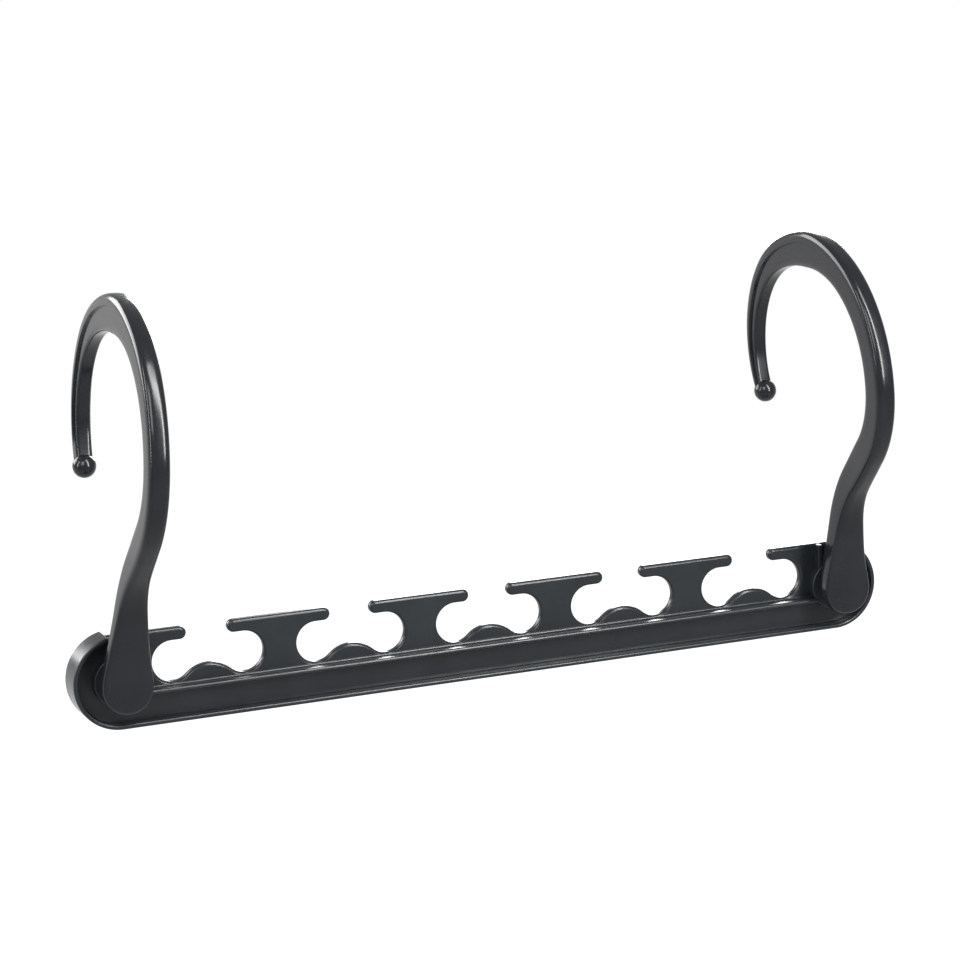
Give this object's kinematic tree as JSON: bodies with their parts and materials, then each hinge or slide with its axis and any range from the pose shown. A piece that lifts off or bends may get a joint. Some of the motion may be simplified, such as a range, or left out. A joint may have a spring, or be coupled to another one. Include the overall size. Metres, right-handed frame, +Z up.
{
  "type": "cascading hanger hook",
  "caption": "Slotted plastic bar with a swivelling rail hook at each end; it carries clothes hangers level, or drops to hang straight down from one hook.",
  "frame": {"origin": "where a rail's top touches the insides of the two hooks, midway between them, over the middle of the bar's thickness", "axes": "+X along the bar toward the right hook, +Y to the back, where the hooks' ball tips are, +Z up"},
  "size_m": [0.2588, 0.087, 0.1252],
  "materials": {
    "charcoal_plastic": "semi-gloss moulded"
  },
  "bodies": {
    "bar": {"slotted_bar": "charcoal_plastic"},
    "left_hook": {"left_hook": "charcoal_plastic"},
    "right_hook": {"right_hook": "charcoal_plastic"}
  },
  "joints": [
    {"name": "left_pivot", "type": "hinge", "parent": "bar", "child": "left_hook", "pos_m": [-0.1155, 0, -0.09978], "axis": [0, 1, 0], "range_deg": [-180, 75]},
    {"name": "right_pivot", "type": "hinge", "parent": "bar", "child": "right_hook", "pos_m": [0.1155, 0, -0.09978], "axis": [0, 1, 0], "range_deg": [-75, 180]}
  ]
}
